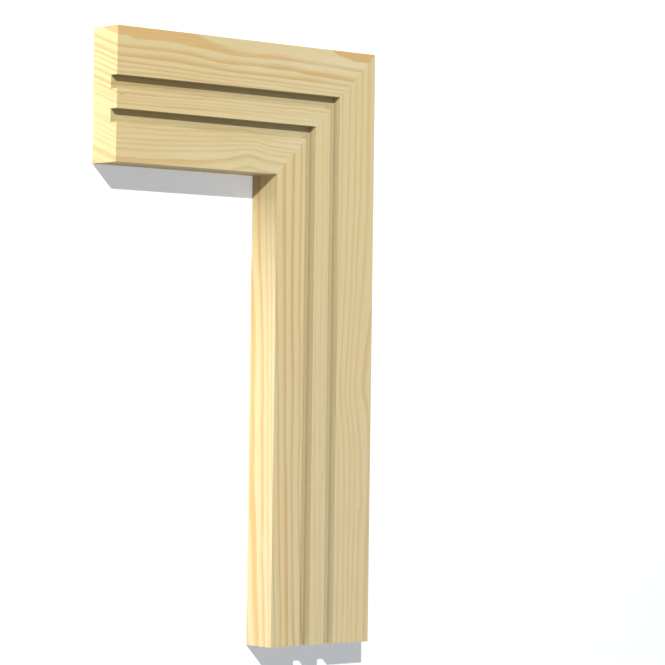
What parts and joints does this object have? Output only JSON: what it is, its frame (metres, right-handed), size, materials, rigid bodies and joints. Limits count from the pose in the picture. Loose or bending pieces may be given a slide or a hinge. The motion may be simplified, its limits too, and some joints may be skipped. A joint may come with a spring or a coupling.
{
  "type": "mitred architrave moulding",
  "caption": "Mitred corner of a planed pine door architrave: a short head and a longer leg of flat moulding with square grooves along its face, returned round the corner.",
  "frame": {"origin": "on the back face that lies on the floor, under the middle of the rectangle that the corner fills", "axes": "+X along the head from its square end to the corner, +Y up the leg from its foot to the corner, +Z out of the back through the face"},
  "size_m": [0.175, 0.318, 0.02],
  "materials": {
    "planed_pine": "bare planed softwood, satin"
  },
  "bodies": {
    "root": {"head_moulding": "planed_pine", "leg_moulding": "planed_pine"}
  },
  "joints": []
}
